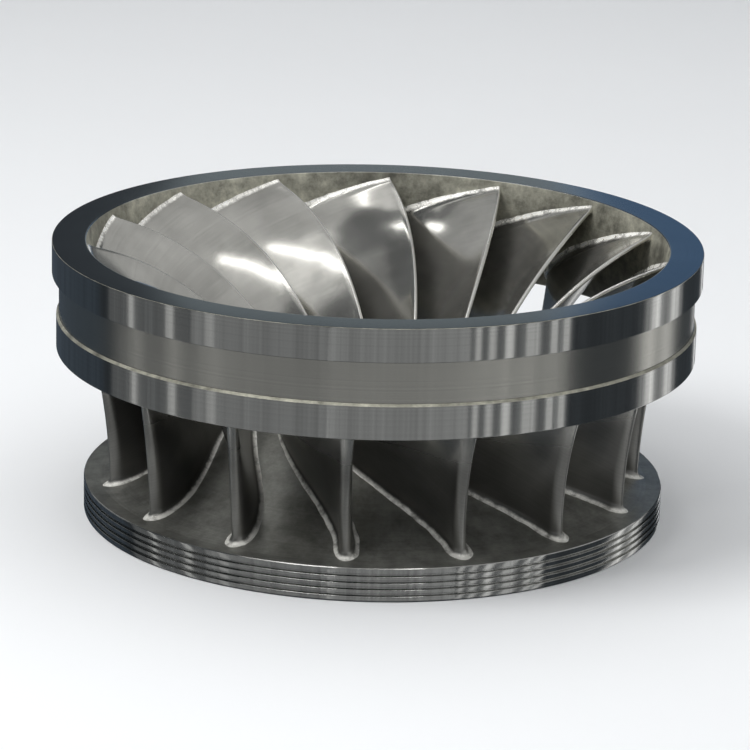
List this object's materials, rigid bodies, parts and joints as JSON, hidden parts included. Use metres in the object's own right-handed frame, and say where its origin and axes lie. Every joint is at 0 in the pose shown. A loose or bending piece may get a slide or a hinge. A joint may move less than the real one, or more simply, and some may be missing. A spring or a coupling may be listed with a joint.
{
  "type": "francis turbine runner",
  "caption": "Welded water turbine runner: a dished crown with a shaft bore, a band round the outlet, fixed curved blades between them, and ground seal rings.",
  "frame": {"origin": "centre of the crown's flat back, on the shaft axis", "axes": "+Z along the shaft axis from the crown towards the outlet; the first blade's inlet edge leaves the crown on the +X side"},
  "size_m": [0.84, 0.84, 0.36],
  "materials": {
    "crown_casting": "ground cast stainless steel, satin",
    "band_casting": "turned cast stainless steel, satin",
    "ground_steel": "ground steel with turning marks",
    "polished_blade": "hand-polished stainless steel with dressed weld fillets"
  },
  "bodies": {
    "root": {"crown": "crown_casting", "crown_seal_ring": "ground_steel", "band": "band_casting", "band_upper_ring": "ground_steel", "band_lower_ring": "ground_steel", "blade_01": "polished_blade", "blade_02": "polished_blade", "blade_03": "polished_blade", "blade_04": "polished_blade", "blade_05": "polished_blade", "blade_06": "polished_blade", "blade_07": "polished_blade", "blade_08": "polished_blade", "blade_09": "polished_blade", "blade_10": "polished_blade", "blade_11": "polished_blade", "blade_12": "polished_blade", "blade_13": "polished_blade", "blade_14": "polished_blade", "blade_15": "polished_blade"}
  },
  "joints": []
}
